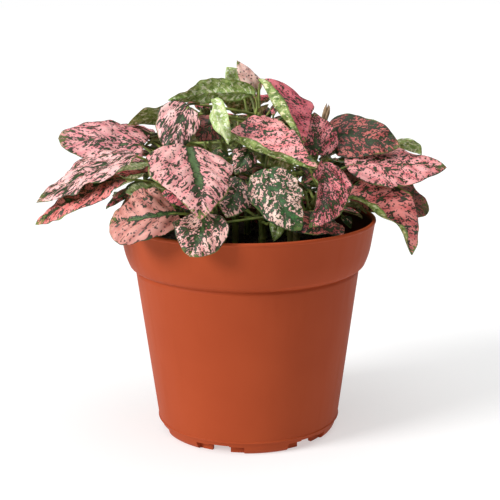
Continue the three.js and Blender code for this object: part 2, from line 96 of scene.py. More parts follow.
# ---- Leaves ----------------------------------------------------------------------------------------
RING = 8
STALK_RINGS = 4
LEAF_RINGS = 12
# Where a blade's cross sections lie, as parts of its length.
STATIONS = np.array([0, 0.05, 0.14, 0.28, 0.43, 0.58, 0.73, 0.86, 0.95, 1])
STALK_SIDES = 8
STALK_ROWS = 14
BLADE_THICKNESS = 0.36
VEIN_SPACING = 4.4
EDGE_ROUGHNESS = 0.08


# ---- Small helpers ---------------------------------------------------------------------------------
def srgb(red, green, blue):
    """A colour given as it looks on screen, 0 to 255, as the linear colour that a shader takes."""
    def linear(c):
        c = c / 255
        return c / 12.92 if c <= 0.04045 else ((c + 0.055) / 1.055) ** 2.4
    return (linear(red), linear(green), linear(blue), 1.0)


def smooth(points, count):
    """count points at even steps of the smooth curve through points, along their first axis."""
    points = np.asarray(points, float)
    ends = np.concatenate([[2 * points[0] - points[1]], points, [2 * points[-1] - points[-2]]])
    t = np.linspace(0, len(points) - 1, count)
    i = np.minimum(t.astype(int), len(points) - 2)
    f = (t - i).reshape((-1,) + (1,) * (points.ndim - 1))
    a, b, c, d = ends[i], ends[i + 1], ends[i + 2], ends[i + 3]
    return 0.5 * (2 * b + (c - a) * f + (2 * a - 5 * b + 4 * c - d) * f**2 + (3 * b - a - 3 * c + d) * f**3)


def unit(v):
    length = np.linalg.norm(v, axis=-1, keepdims=True)
    return v / np.maximum(length, 1e-9)


def new_object(name, vertices, faces, sharp=40):
    """A mesh object from corners in millimetres, shaded smooth but for edges sharper than sharp degrees."""
    mesh = bpy.data.meshes.new(name)
    mesh.from_pydata((np.asarray(vertices) * MM).tolist(), [], faces)
    mesh.update()
    piece = bpy.data.objects.new(name, mesh)
    bpy.context.scene.collection.objects.link(piece)
    soften(piece, sharp)
    return piece


def soften(piece, sharp):
    piece.data.shade_smooth()
    piece.data.set_sharp_from_angle(angle=math.radians(sharp))


def join(corners, faces, more_corners, more_faces):
    """Adds one mesh's corners and faces to lists of them."""
    faces += [[len(corners) + i for i in face] for face in more_faces]
    corners += list(more_corners)


def finish_piece(piece, slot, *nodes):
    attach(piece, BODY)
    if nodes:
        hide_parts(*nodes)
    return piece


# ---- Material nodes --------------------------------------------------------------------------------
class Look:
    """A material whose nodes are added one at a time. Each call returns the new node's result."""

    def __init__(self, name):
        self.material = bpy.data.materials.new(name)
        self.material.use_nodes = True
        self.tree = self.material.node_tree
        self.shader = self.tree.nodes["Principled BSDF"]

    def put(self, socket, value):
        if isinstance(value, bpy.types.NodeSocket):
            self.tree.links.new(value, socket)
        else:
            socket.default_value = value

    def add(self, kind, **inputs):
        node = self.tree.nodes.new("ShaderNode" + kind)
        for name, value in inputs.items():
            self.put(node.inputs[name.replace("_", " ")], value)
        return node

    def attribute(self, name):
        node = self.tree.nodes.new("ShaderNodeAttribute")
        node.attribute_name = name
        return node.outputs["Fac"]

    def uv(self, name):
        node = self.tree.nodes.new("ShaderNodeUVMap")
        node.uv_map = name
        return node.outputs["UV"]

    def place(self):
        return self.tree.nodes.new("ShaderNodeTexCoord").outputs["Object"]

    def math(self, operation, a, b=0.0):
        node = self.tree.nodes.new("ShaderNodeMath")
        node.operation = operation
        self.put(node.inputs[0], a)
        self.put(node.inputs[1], b)
        return node.outputs[0]

    def plus(self, a, b):
        return self.math("ADD", a, b)

    def times(self, a, b):
        return self.math("MULTIPLY", a, b)

    def vector_math(self, operation, a, b):
        node = self.tree.nodes.new("ShaderNodeVectorMath")
        node.operation = operation
        self.put(node.inputs[0], a)
        self.put(node.inputs[1], b)
        return node.outputs

    def stretched(self, vector, scale):
        return self.vector_math("MULTIPLY", vector, scale)["Vector"]

    def dot(self, a, b):
        return self.vector_math("DOT_PRODUCT", a, b)["Value"]

    def noise(self, vector, scale, detail=2.0, roughness=0.5, distortion=0.0):
        node = self.add("TexNoise", Vector=vector, Scale=scale, Detail=detail, Roughness=roughness)
        node.inputs["Distortion"].default_value = distortion
        return node.outputs["Fac"]

    def spots(self, vector, scale):
        return self.add("TexVoronoi", Vector=vector, Scale=scale).outputs["Distance"]

    def remap(self, value, low, high, to_low=0.0, to_high=1.0):
        node = self.add("MapRange", Value=value)
        node.interpolation_type = "SMOOTHSTEP"
        limits = {"From Min": low, "From Max": high, "To Min": to_low, "To Max": to_high}
        for name, number in limits.items():
            self.put(node.inputs[name], number)
        return node.outputs["Result"]

    def mix(self, factor, a, b):
        node = self.tree.nodes.new("ShaderNodeMix")
        node.data_type = "RGBA"
        self.put(node.inputs["Factor"], factor)
        self.put([s for s in node.inputs if s.identifier == "A_Color"][0], a)
        self.put([s for s in node.inputs if s.identifier == "B_Color"][0], b)
        return [s for s in node.outputs if s.identifier == "Result_Color"][0]

    def bump(self, height, distance, strength=1.0):
        return self.add("Bump", Height=height, Distance=distance, Strength=strength).outputs["Normal"]

    def surface(self, **inputs):
        for name, value in inputs.items():
            self.put(self.shader.inputs[name.replace("_", " ")], value)
        return self.material


# ---- Leaf materials --------------------------------------------------------------------------------
VEINS = "veins"
DARK_MARK = srgb(56, 36, 32)
EDGE_GREEN = srgb(122, 136, 68)

# A leaf's upper side. light and rich: its pinks; cover: the part of it that is marked; long and short: a
# mark's size along and across the side veins, in mm; band: how strongly the marks crowd along the rib, how
# wide there, in mm, and where on the leaf that ends; green: how far the larger marks turn from brown to
# green; slant: the side veins' angle to the rib; tip: how green its tip and parts of its margin are; mark
# and wide: the greens of the marks and of the widest of them.
USUAL = dict(
    slot="leaf_pale", light=(243, 180, 182), rich=(224, 138, 148), cover=0.3, long=2.8, short=1.1,
    band=(0.06, 2.0, 1.2), green=0.75, slant=40, tip=0.5, mark=(42, 68, 30), wide=(90, 118, 66),
)
STYLES = {
    "blush": dict(light=(252, 194, 188), rich=(234, 146, 148), cover=0.38, long=3.0, short=1.3,
                  band=(0.36, 1.9, 0.62), tip=0.9),
    "bare": dict(light=(218, 156, 144), rich=(176, 106, 96), cover=0.26, long=4.0, short=1.4,
                 band=(0.3, 1.3, 0.7), tip=0.4),
    "rosy": dict(light=(246, 180, 178), rich=(226, 132, 140), cover=0.48, long=3.2, short=1.2, slant=26),
    "salmon": dict(light=(250, 212, 200), rich=(240, 182, 172), cover=0.03, band=(0, 1, 1), tip=1.0),
    "streaked": dict(light=(252, 204, 198), rich=(228, 150, 152), cover=0.54, long=4.0, short=1.05,
                     slant=16),
    "speckled": dict(light=(250, 200, 188), rich=(228, 148, 146), cover=0.7, long=1.9, green=0.9,
                     band=(0.1, 1.6, 0.8)),
    "coral": dict(slot="leaf_coral", light=(242, 150, 142), rich=(208, 98, 96), cover=0.44,
                  band=(0.12, 1.5, 1.2), tip=0.9),
    "spotted": dict(slot="leaf_coral", light=(254, 178, 176), rich=(232, 126, 130), cover=0.44, long=2.2,
                    short=1.3, green=0.95, slant=24),
    "deep": dict(slot="leaf_deep", light=(242, 134, 142), rich=(210, 86, 104), cover=0.38, long=2.0,
                 band=(0.1, 1.6, 1.2), slant=34),
    "dark": dict(slot="leaf_deep", light=(208, 120, 110), rich=(168, 72, 72), cover=0.7, long=2.1,
                 green=0.95, band=(0.05, 1.4, 1.2), slant=34, mark=(36, 54, 26), wide=(62, 84, 44)),
    "fine": dict(slot="leaf_deep", light=(246, 156, 158), rich=(210, 88, 102), cover=0.57, long=1.4,
                 short=0.85),
    "flecked": dict(slot="leaf_green", light=(242, 206, 190), rich=(226, 166, 156), cover=0.66, long=1.7,
                    short=1.2, band=(0.08, 4.0, 1.2), green=1.0, mark=(40, 78, 34),
                    wide=(64, 118, 56)),
    "shaded": dict(slot="leaf_shade", light=(178, 102, 94), rich=(136, 70, 64), cover=0.5, long=2.6),
    "lit_green": dict(slot="leaf_green", light=(226, 196, 160), rich=(206, 150, 130), cover=0.7, long=1.8,
                      green=1.0, band=(0.1, 4.0, 1.2)),
}
STYLES = {name: {**USUAL, **style} for name, style in STYLES.items()}


def vein_ridges(look, vein_place):
    """0 on a side vein and 1 halfway between two, from the place across the veins."""
    split = look.add("SeparateXYZ", Vector=vein_place)
    wave = look.math("SINE", look.times(split.outputs["Y"], math.pi / VEIN_SPACING))
    return look.math("ABSOLUTE", wave)


def leaf_skin(look, colour, vein_place, roughness):
    """What every side of a leaf shares: its sunken veins, its fine grain and some light in its flesh."""
    ridges = vein_ridges(look, vein_place)
    grain = look.noise(vein_place, 2.2, detail=3.0)
    height = look.plus(look.times(ridges, 0.7), look.times(grain, 0.7))
    return look.surface(
        Base_Color=colour,
        Roughness=look.remap(grain, 0.3, 0.7, roughness - 0.06, roughness + 0.06),
        Subsurface_Weight=0.12,
        Subsurface_Scale=0.0012,
        Specular_IOR_Level=0.4,
        Normal=look.bump(height, 0.00022, strength=0.8),
    )


def upper_side(name, style):
    look = Look(f"leaf_{name}")
    veins = look.uv(VEINS)
    across = look.attribute("leaf_across")
    edge = look.attribute("leaf_edge")
    along = look.attribute("leaf_u")
    drift = look.noise(veins, 0.16, detail=2.0)

    # The pinks: richer beside the veins and in slow patches, lighter between them.
    ridges = vein_ridges(look, veins)
    pale = look.plus(look.times(drift, 0.8), look.times(ridges, 0.2))
    pink = look.mix(look.remap(pale, 0.3, 0.75), srgb(*style["rich"]), srgb(*style["light"]))

    # The marks: dashes along the side veins with smaller ones between them, closer together at the rib and
    # in places, and a few at the margin.
    dashes = look.noise(
        look.stretched(veins, (1 / style["long"], 1 / style["short"], 1)), 1.0, detail=2.0,
        roughness=0.55, distortion=0.5,
    )
    specks = look.noise(
        look.stretched(veins, (2.1 / style["long"], 1.7 / style["short"], 1)), 1.0, detail=1.0,
        distortion=0.5,
    )
    strength, width, end = style["band"]
    band = look.remap(across, 0.3 * width, 1.3 * width, strength, 0.0)
    band = look.times(band, look.remap(along, end - 0.12, end + 0.12, 1.0, 0.2))
    rim = look.remap(edge, 0.1, 0.5, 0.16, 0.0)
    slow = look.times(look.math("SUBTRACT", drift, 0.5), -0.45)
    extra = look.plus(slow, look.plus(band, rim))
    field = look.math("MAXIMUM", dashes, look.math("SUBTRACT", specks, 0.05))
    field = look.plus(field, extra)
    level = 0.66 - 0.24 * style["cover"]
    marked = look.remap(field, level - 0.012, level + 0.035)
    dots = look.spots(veins, 0.62)
    dotted = look.times(look.remap(dots, 0.2, 0.26, 1.0, 0.0), look.remap(drift, 0.35, 0.5))
    marked = look.math("MAXIMUM", marked, look.times(dotted, 0.85))
    green = look.remap(field, level + 0.03, level + 0.11, 0.0, style["green"])
    wide = look.remap(field, level + 0.15, level + 0.3, 0.0, 0.8)
    wide = look.times(wide, look.remap(edge, 1.0, 2.0))
    mark = look.mix(green, DARK_MARK, srgb(*style["mark"]))
    mark = look.mix(wide, mark, srgb(*style["wide"]))
    colour = look.mix(marked, pink, mark)

    # Light green on parts of the margin and at the tip.
    patches = look.noise(veins, 0.12, detail=1.0)
    lit = look.times(look.remap(edge, 0.3, 0.8, 1.0, 0.0), look.remap(patches, 0.5, 0.62))
    end = look.plus(along, look.times(look.math("SUBTRACT", dashes, 0.5), 0.5))
    lit = look.math("MAXIMUM", lit, look.remap(end, 0.9, 0.98))
    lit = look.times(lit, style["tip"])
    return leaf_skin(look, look.mix(lit, colour, EDGE_GREEN), veins, 0.5)


def under_side(name, base, dark, fleck):
    """Light green with darker green between paler veins and whitish flecks."""
    look = Look(name)
    veins = look.uv(VEINS)
    edge = look.attribute("leaf_edge")
    ridges = vein_ridges(look, veins)
    cloud = look.noise(veins, 0.5, detail=4.0, roughness=0.6)
    green = look.mix(look.remap(cloud, 0.42, 0.6), srgb(*base), srgb(*dark))
    green = look.mix(look.remap(ridges, 0.0, 0.22, 0.5, 0.0), green, srgb(*base))
    finer = look.stretched(veins, (0.5, 0.9, 1))
    flecks = look.noise(finer, 1.0, detail=3.0, roughness=0.6, distortion=0.4)
    green = look.mix(look.remap(flecks, 0.54, 0.58, 0.0, 0.9), green, srgb(*fleck))
    green = look.mix(look.remap(edge, 0.2, 0.8, 0.8, 0.0), green, srgb(*dark))
    return leaf_skin(look, green, veins, 0.55)


def stalk_material():
    look = Look("leaf_stalk")
    cloud = look.noise(look.place(), 260.0, detail=3.0)
    colour = look.mix(look.remap(cloud, 0.4, 0.65), srgb(150, 165, 82), srgb(112, 120, 58))
    return look.surface(
        Base_Color=colour,
        Roughness=0.5,
        Subsurface_Weight=0.15,
        Subsurface_Scale=0.001,
        Normal=look.bump(cloud, 0.0001),
    )


UPPER = {name: upper_side(name, style) for name, style in STYLES.items()}
UPPER["newest"] = under_side("leaf_newest", (208, 220, 166), (158, 182, 100), (242, 244, 222))
UPPER["young"] = under_side("leaf_young", (176, 196, 118), (112, 138, 58), (236, 238, 204))
UNDER = under_side("leaf_under", (156, 174, 98), (88, 112, 44), (222, 222, 176))
STALK = stalk_material()
SLOT_OF = {name: style["slot"] for name, style in STYLES.items()}
SLOT_OF["young"] = SLOT_OF["newest"] = "leaf_young"
# A darker, warmer copy of the undersides' greens for the inner leaves: painted shade.
SHADED_INNER_UNDER = under_side("leaf_inner_under_shaded", (112, 118, 62), (66, 72, 34), (150, 146, 104))


# ---- Leaves ----------------------------------------------------------------------------------------
def joined_corners(node):
    """A node's corners with doubles joined, in millimetres, and its faces as lists of corner numbers."""
    mesh = frame["nodes"][node].data
    places = {}
    number = [places.setdefault(tuple(round(c / MM, 3) for c in v.co), len(places)) for v in mesh.vertices]
    faces = [[number[i] for i in p.vertices] for p in mesh.polygons]
    return np.array(list(places)), faces


def neighbours(corners, faces):
    near = [set() for _ in corners]
    for face in faces:
        for a, b in zip(face, face[1:] + face[:1]):
            near[a].add(b)
            near[b].add(a)
    return near


def leaf_rings(node):
    """A leaf's rings of eight corners from its stalk's end to its tip, left margin first, and its tip."""
    corners, faces = joined_corners(node)
    near = neighbours(corners, faces)
    tip = next(i for i, others in enumerate(near) if len(others) == RING)
    after = {}
    for face in faces:
        if tip in face:
            k = face.index(tip)
            after[face[k - 2]] = face[k - 1]
    ring = [next(iter(after))]
    while len(ring) < RING:
        ring.append(after[ring[-1]])
    seen = {tip, *ring}
    rings = [ring]
    while len(rings) < LEAF_RINGS:
        pairs = zip(ring, ring[1:] + ring[:1])
        ring = [next(iter((near[a] & near[b]) - seen)) for a, b in pairs]
        seen.update(ring)
        rings.append(ring)
    # The cut end's faces all meet at the corner on top of the stalk, the third of its ring.
    top = max(range(RING), key=lambda i: len(near[ring[i]]))
    order = [(top - 2 + i) % RING for i in range(RING)]
    return corners[[[r[i] for i in order] for r in reversed(rings)]], corners[tip]


def leaf_lines(rings, tip):
    """A blade's five lines from base to tip, from its left margin to its right, and its stalk's line."""
    stalk = rings[:STALK_RINGS].mean(axis=1)
    blade = rings[STALK_RINGS:]
    pairs = ((0, 0), (1, 7), (2, 6), (3, 5), (4, 4))
    lines = [[stalk[-1], *(0.5 * (blade[:, a] + blade[:, b])), tip] for a, b in pairs]
    return np.array(lines), stalk


class Grid:
    """The faces of a closed blade over a grid of points, its upper side first, and where each one is."""

    def __init__(self, rows, columns):
        self.rows = rows
        self.columns = columns
        self.middle = (columns - 1) // 2
        self.v = np.linspace(-1, 1, columns)
        self.under = {}
        self.upper_count = (rows - 2) * columns + 2
        self.faces, lower, side = [], [], []
        for corner in (self.upper, self.lower):
            for row in range(rows - 1):
                for column in range(columns - 1):
                    places = ((row, column), (row, column + 1), (row + 1, column + 1), (row + 1, column))
                    face = list(dict.fromkeys(corner(*p) for p in places))
                    if corner == self.lower:
                        face.reverse()
                    self.faces.append(face)
                    lower.append(corner == self.lower)
                    side.append(-1 if column < self.middle else 1)
        count = self.upper_count + len(self.under)
        self.row = np.zeros(count, int)
        self.column = np.full(count, self.middle)
        self.row[self.upper_count - 1] = rows - 1
        for row in range(1, rows - 1):
            for column in range(columns):
                for corner in (self.upper, self.lower):
                    self.row[corner(row, column)] = row
                    self.column[corner(row, column)] = column
        self.is_lower = np.arange(count) >= self.upper_count
        self.face_is_lower = np.array(lower)
        self.loop_point = np.array([i for face in self.faces for i in face])
        self.loop_side = np.repeat(side, [len(face) for face in self.faces])

    def upper(self, row, column):
        if row == 0:
            return self.upper_count - 2
        if row == self.rows - 1:
            return self.upper_count - 1
        return (row - 1) * self.columns + column

    def lower(self, row, column):
        if row in (0, self.rows - 1) or column in (0, self.columns - 1):
            return self.upper(row, column)
        return self.under.setdefault((row, column), self.upper_count + len(self.under))


FINE = Grid(46, 25)
PLAIN = Grid(30, 17)


def waves(a, b, chance, longest):
    """A slow, even, made-up unevenness between about -1 and 1 over a surface, from a few crossed waves."""
    total = np.zeros(np.broadcast(a, b).shape)
    for octave in (1, 1.7, 2.9):
        turn = chance.uniform(0, math.tau)
        lead = chance.uniform(0, math.tau)
        step = math.tau / longest * octave
        total += np.sin((a * math.cos(turn) + b * math.sin(turn)) * step + lead) / octave
    return total / 1.6


def tube(line, radii, sides):
    """Corners and faces of a closed tube along a line of points, with a radius at each point."""
    line = np.asarray(line, float)
    ahead = unit(np.gradient(line, axis=0))
    start = np.array([0, 0, 1.0]) if abs(ahead[0][2]) < 0.9 else np.array([1.0, 0, 0])
    corners = []
    for point, direction, radius in zip(line, ahead, radii):
        start = unit(start - direction * np.dot(start, direction))
        other = np.cross(direction, start)
        for k in range(sides):
            angle = math.tau * k / sides
            corners.append(point + radius * (math.cos(angle) * start + math.sin(angle) * other))
    faces = []
    for i in range(len(line) - 1):
        for k in range(sides):
            a, b = i * sides + k, i * sides + (k + 1) % sides
            faces.append([a, b, b + sides, a + sides])
    last = (len(line) - 1) * sides
    faces.append(list(range(sides - 1, -1, -1)))
    faces.append(list(range(last, last + sides)))
    return np.array(corners), faces


def blade_surface(grid, lines, chance, ruffle):
    """A blade's middle surface over its grid, its normals, and the distances that its marks follow."""
    points = smooth(lines.transpose(1, 0, 2), grid.rows)
    left, left_middle, rib, right_middle, right = (points[:, k][:, None] for k in range(5))
    steps = np.linalg.norm(np.diff(points[:, 2], axis=0), axis=1)
    along = np.concatenate([[0], np.cumsum(steps)])[:, None]
    reach = 1 + EDGE_ROUGHNESS * waves(along, grid.v[None] * 3, chance, 12.0)
    v = np.abs(grid.v)[None, :, None] * reach[:, :, None]
    is_left = grid.v[None, :, None] < 0
    margin = np.where(is_left, left, right)
    middle = np.where(is_left, left_middle, right_middle)
    surface = rib * (2 * v - 1) * (v - 1) + middle * 4 * v * (1 - v) + margin * v * (2 * v - 1)

    steps = np.linalg.norm(np.diff(surface, axis=1), axis=2)
    start = np.zeros((grid.rows, 1))
    right_side = np.concatenate([start, np.cumsum(steps[:, grid.middle:], axis=1)], axis=1)
    left_side = np.concatenate([start, np.cumsum(steps[:, :grid.middle][:, ::-1], axis=1)], axis=1)
    across = np.concatenate([left_side[:, :0:-1], right_side], axis=1)
    edge = np.where(grid.v < 0, left_side[:, -1:], right_side[:, -1:]) - across

    normal = np.cross(np.gradient(surface, axis=1), np.gradient(surface, axis=0))
    normal[0], normal[-1] = normal[1:4].mean(axis=(0, 1)), normal[-4:-1].mean(axis=(0, 1))
    normal = unit(normal)

    u = along / along[-1]
    free = np.sin(math.pi * u) ** 0.5
    slant = math.radians(42)
    vein = along * math.sin(slant) - across * math.cos(slant)
    swell = np.sin(math.pi * vein / VEIN_SPACING) ** 2 - 0.5
    swell = swell * np.clip(across / 2, 0, 1) * np.clip(edge / 2, 0, 1)
    groove = np.exp(-((across / 0.8) ** 2)) * (1 - 0.6 * u)
    wave = waves(along, np.sign(grid.v)[None] * 40, chance, 13.0) * np.abs(grid.v)[None] ** 2.5
    lift = free * (1.35 * ruffle * wave + 0.8 * waves(along, across, chance, 22.0))
    lift += 0.55 * swell - 0.4 * groove
    return surface + normal * lift[:, :, None], normal, along, across, edge, groove


def make_leaf(name, lines, stalk, style, seed, grid=FINE, ruffle=1.0, node=None, below=UNDER):
    """One leaf: a thin closed blade with a rib below, and its stalk, as one piece."""
    chance = random.Random(seed)
    surface, normal, along, across, edge, groove = blade_surface(grid, lines, chance, ruffle)
    row, column = grid.row, grid.column
    thin = np.clip(edge, 0, 1.0) ** 0.5 * BLADE_THICKNESS / 2
    drop = np.where(grid.is_lower, -(thin + 0.42 * groove)[row, column], thin[row, column])
    corners = surface[row, column] + normal[row, column] * drop[:, None]

    # The stalk starts inside its stem and runs out below the rib.
    first = stalk[0] + unit(stalk[0] - stalk[1]) * 1.3
    under = [round(part * grid.rows) for part in (0.13, 0.24, 0.37)]
    tucked = [surface[r, grid.middle] - 0.3 * normal[r, grid.middle] for r in under]
    line = smooth([first, *stalk[:-1], 0.5 * (stalk[-1] + tucked[0]), *tucked[1:]], STALK_ROWS)
    radii = np.interp(np.linspace(0, 1, STALK_ROWS), [0, 0.5, 1], [0.72, 0.55, 0.16])
    tube_corners, tube_faces = tube(line, radii, STALK_SIDES)
    start = len(corners)
    faces = grid.faces + [[start + i for i in face] for face in tube_faces]
    piece = new_object(name, np.concatenate([corners, tube_corners]), faces, sharp=70)

    mesh = piece.data
    if style in BOTH_SIDES:
        below = UPPER[style]
    for material in (UPPER[style], below, STALK):
        mesh.materials.append(material)
    index = np.concatenate([grid.face_is_lower.astype(np.int32), np.full(len(tube_faces), 2, np.int32)])
    mesh.polygons.foreach_set("material_index", index)

    zeros = np.zeros(len(tube_corners))
    u = np.broadcast_to(along / along[-1], across.shape)
    for key, values in (("leaf_across", across), ("leaf_edge", edge), ("leaf_u", u)):
        attribute = mesh.attributes.new(key, "FLOAT", "POINT")
        spread = np.concatenate([values[row, column], zeros]).astype(np.float32)
        attribute.data.foreach_set("value", spread)
    slant = math.radians(STYLES[style]["slant"] if style in STYLES else 42)
    far = np.broadcast_to(along, across.shape)[row, column][grid.loop_point]
    wide = across[row, column][grid.loop_point]
    offset = chance.uniform(0, 300)
    s = far * math.cos(slant) + wide * math.sin(slant) + offset + 60 * grid.loop_side
    t = far * math.sin(slant) - wide * math.cos(slant) + VEIN_SPACING * 20
    loops = np.zeros((len(mesh.loops), 2), np.float32)
    loops[: len(s), 0] = s
    loops[: len(s), 1] = t
    mesh.uv_layers.new(name=VEINS).data.foreach_set("uv", loops.ravel())
    return finish_piece(piece, SLOT_OF[style], *([node] if node else []))


# The looks of single leaves. The others take one from their node's slot.
LEAF_LOOKS = {
    "left_upper": "rosy", "left_middle": "streaked", "left_lower": "coral", "centre_large": "blush",
    "front_left": "bare", "front_low": "speckled", "right_large": "spotted", "right_drooping": "coral",
    "front_right": "fine", "front_centre": "flecked", "upper_left": "streaked", "middle_long": "spotted",
    "top_long": "deep", "right_upper": "dark", "right_inner": "fine", "inner_small": "speckled",
    "inner_lower": "speckled", "low_left": "shaded", "low_left_inner": "deep", "front_inside": "dark",
    "top_small": "salmon", "top_small_pale": "newest", "young_hanging": "newest",
    "back_left_upper": "rosy", "back_middle_left": "speckled", "back_upper_right": "blush",
    "back_low": "rosy",
    "back_right_drooping": "streaked", "back_middle_right": "spotted", "back_right_upper": "spotted",
}
# The looks that a leaf has on both its sides.
BOTH_SIDES = ("young", "newest")
USUAL_LOOK = {
    "leaf_pale": "blush", "leaf_coral": "coral", "leaf_deep": "deep", "leaf_green": "flecked",
    "leaf_shade": "shaded", "leaf_young": "young",
}
NODE_SLOT = {part["node"]: part["material_slot"] for part in frame["record"]["subparts"]}


def cad_leaves():
    found = []
    for seed, node in enumerate(sorted(n for n in frame["nodes"] if n.startswith("leaf_"))):
        lines, stalk = leaf_lines(*leaf_rings(node))
        name = node.removeprefix("leaf_")
        style = LEAF_LOOKS.get(name, USUAL_LOOK[NODE_SLOT[node]])
        make_leaf(f"fine_{node}", lines, stalk, style, seed, node=node)
        found.append(lines)
    return found


# ---- Stems -----------------------------------------------------------------------------------------
def stem_line(node):
    """The middles of a stem's rings, from the soil up, in millimetres."""
    corners, faces = joined_corners(node)
    near = neighbours(corners, faces)
    low = corners[:, 2].min()
    layer = {i for i, corner in enumerate(corners) if corner[2] < low + 0.05}
    seen = set(layer)
    middles = []
    while layer:
        middles.append(corners[sorted(layer)].mean(axis=0))
        layer = set().union(*(near[i] for i in layer)) - seen
        seen |= layer
    return np.array(middles)


def stem_material():
    look = Look("stem_skin")
    place = look.place()
    cloud = look.noise(look.stretched(place, (1.0, 1.0, 0.35)), 420.0, detail=3.0)
    green = look.mix(look.remap(cloud, 0.42, 0.62), srgb(120, 132, 62), srgb(84, 92, 44))
    blush = look.noise(place, 70.0, detail=2.0)
    colour = look.mix(look.remap(blush, 0.5, 0.68, 0.0, 0.6), green, srgb(104, 64, 50))
    return look.surface(
        Base_Color=colour,
        Roughness=0.5,
        Subsurface_Weight=0.1,
        Subsurface_Scale=0.001,
        Normal=look.bump(cloud, 0.00015),
    )


def fine_stems():
    material = stem_material()
    lines = []
    for seed, node in enumerate(sorted(n for n in frame["nodes"] if n.startswith("stem_"))):
        chance = random.Random(400 + seed)
        line = stem_line(node)
        lines.append(line)
        rooted = np.concatenate([[line[0] - np.array([0, 0, 2.5])], line])
        points = smooth(rooted, 70)
        far = np.linspace(0, 1, len(points))
        knots = [chance.uniform(0.2, 0.3) + 0.22 * k for k in range(4)]
        swell = sum(np.exp(-(((far - knot) / 0.018) ** 2)) for knot in knots)
        radii = np.interp(far, [0, 0.3, 0.96, 1], [1.5, 1.3, 0.95, 0.4]) * (1 + 0.22 * swell)
        corners, faces = tube(points, radii, 12)
        piece = new_object(f"fine_{node}", corners, faces, sharp=80)
        piece.data.materials.append(material)
        finish_piece(piece, "stem", node)
    return lines


# ---- Inner leaves ----------------------------------------------------------------------------------
# The leaves inside the plant, which the photograph shows only as a dense dark mass. They grow from the same
# stems, keep clear of everything else, and stay behind what the photograph shows.
INNER_TRIES = 5000
INNER_MOST = 175
PLACE_TRIES = 600
# The roof that the inner leaves stay under: across and up, from the plant's left to its right.
ROOF = np.array([
    (-70, 118), (-50, 121), (-38, 126), (-28, 133), (-16, 140),
    (4, 141), (16, 133), (28, 126), (46, 124), (62, 114),
])
LEFT_FLOOR = 92
# Where the photograph looks in between the stems.
STEM_WINDOW = ((-6, 9), (70, 101))
# A grid in the plane through the plant's middle. Where the viewer would see through the plant at one of its
# places, an inner leaf closes the view.
PLACE_STEP = 3
PLACE_SIDES = (-54, 52)
PLACE_FLOOR = 88
PLACE_LENGTHS = (5, 18)
FREE_LENGTHS = (14, 30)
# How far before and behind that plane an inner leaf lies, along the line of sight.
SIGHT_DEPTHS = (-18, 22)
# The space they stay in: half its width, its depth behind and in front, where its left part starts, and how
# fast its roof falls towards the back.
HALF_WIDTH = 62
DEPTH_BEHIND = 50
DEPTH_IN_FRONT = 30
LEFT_PART = -46
ROOF_FALL = 0.22
OVER_SOIL = 43
SOIL_CLEARANCE = 3
RIM_CLEARANCE = 2
WINDOW_DEPTH = 8
# How thick a blade and how wide a stalk count where they have to keep clear, and where they are only seen.
CLEAR_BLADE = 1.6
CLEAR_STALK = 0.9
SEEN_BLADE = 0.3
MOST_HIDING = 0.06
INNER_SEED = 2024
INNER_LEAF_SEEDS = 900
INNER_LOOKS = ("shaded", "shaded", "shaded", "deep", "dark", "fine", "lit_green", "speckled")


def shell(lines, thickness):
    """The corners and faces of a blade's two sides, thickness apart, for finding what it would touch."""
    grid = lines.transpose(1, 0, 2)
    normal = unit(np.cross(np.gradient(grid, axis=1), np.gradient(grid, axis=0)))
    rows, columns = grid.shape[:2]
    corners = np.concatenate([(grid + normal * side * thickness / 2).reshape(-1, 3) for side in (1, -1)])
    faces = []
    for start in (0, rows * columns):
        for row in range(rows - 1):
            for column in range(columns - 1):
                a = start + row * columns + column
                faces.append((a, a + 1, a + columns + 1, a + columns))
    return corners, faces


def node_shell(node):
    mesh = frame["nodes"][node].data
    corners = np.array([v.co for v in mesh.vertices]) / MM
    return corners, [tuple(p.vertices) for p in mesh.polygons]


class Crowd:
    """Everything that a new leaf has to keep clear of."""

    def __init__(self):
        self.corners, self.faces, self.tree = [], [], None

    def add(self, corners, faces):
        start = len(self.corners)
        self.corners += [tuple(c) for c in corners]
        self.faces += [tuple(start + i for i in face) for face in faces]

    def settle(self):
        self.tree = BVHTree.FromPolygons(self.corners, self.faces)

    def touches(self, corners, faces):
        return bool(self.tree.overlap(BVHTree.FromPolygons([tuple(c) for c in corners], faces)))


